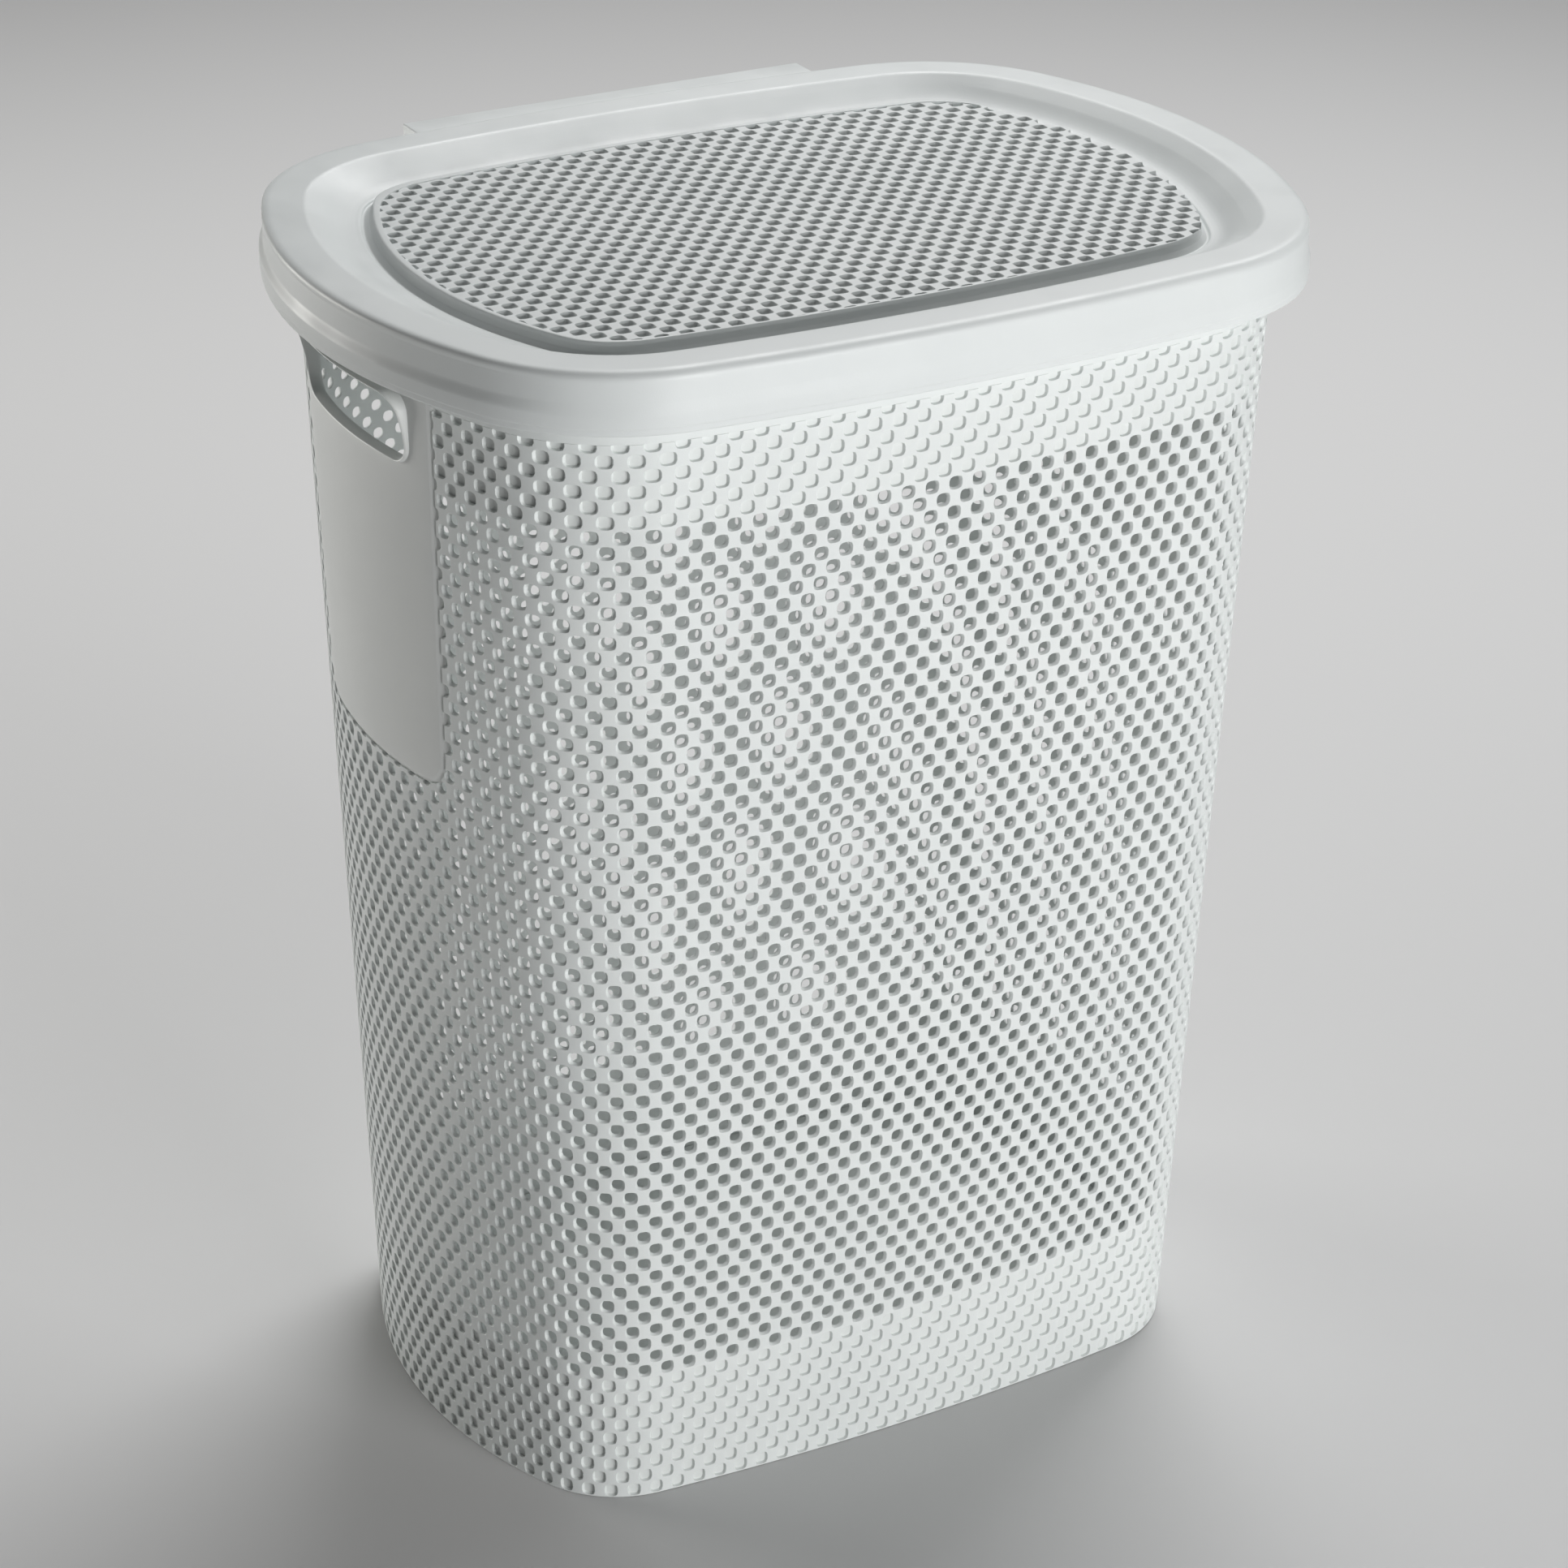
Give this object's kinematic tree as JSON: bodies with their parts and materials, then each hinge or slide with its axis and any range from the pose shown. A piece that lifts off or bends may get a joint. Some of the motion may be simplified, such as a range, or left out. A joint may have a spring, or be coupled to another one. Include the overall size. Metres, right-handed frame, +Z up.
{
  "type": "laundry hamper with lid",
  "caption": "Tall tapered plastic laundry hamper with a rounded rectangular plan, woven-look perforated walls, hand slots in the ends and a hinged, dished lid with a woven top.",
  "frame": {"origin": "middle of the footprint box of the whole closed hamper, on the surface it stands on", "axes": "+Z up, +X along the long side towards the right hand slot, +Y towards the hinge at the back"},
  "size_m": [0.454, 0.3392, 0.568],
  "materials": {
    "tub_wall_plastic": "matt moulded polypropylene with a raised basket weave",
    "tub_plastic": "matt moulded polypropylene",
    "smooth_panel_plastic": "smooth satin moulded polypropylene",
    "lid_plastic": "fine-grained satin moulded polypropylene",
    "lid_weave_plastic": "matt moulded polypropylene with a raised basket weave",
    "hinge_plastic": "smooth moulded polypropylene"
  },
  "bodies": {
    "tub": {"tub_wall": "tub_wall_plastic", "tub_floor": "tub_plastic", "foot_ring": "tub_plastic", "tub_rim": "tub_plastic", "left_handle_panel": "smooth_panel_plastic", "left_grip_bezel": "smooth_panel_plastic", "left_hinge_bracket": "hinge_plastic", "left_hinge_pin": "hinge_plastic", "right_handle_panel": "smooth_panel_plastic", "right_grip_bezel": "smooth_panel_plastic", "right_hinge_bracket": "hinge_plastic", "right_hinge_pin": "hinge_plastic"},
    "lid": {"lid_frame": "lid_plastic", "lid_panel": "lid_weave_plastic", "hinge_hood": "lid_plastic", "left_lid_clip": "hinge_plastic", "right_lid_clip": "hinge_plastic"}
  },
  "joints": [
    {"name": "lid_hinge", "type": "hinge", "parent": "tub", "child": "lid", "pos_m": [0, 0.1644, 0.533], "axis": [-1, 0, 0], "range_deg": [0, 105]}
  ]
}
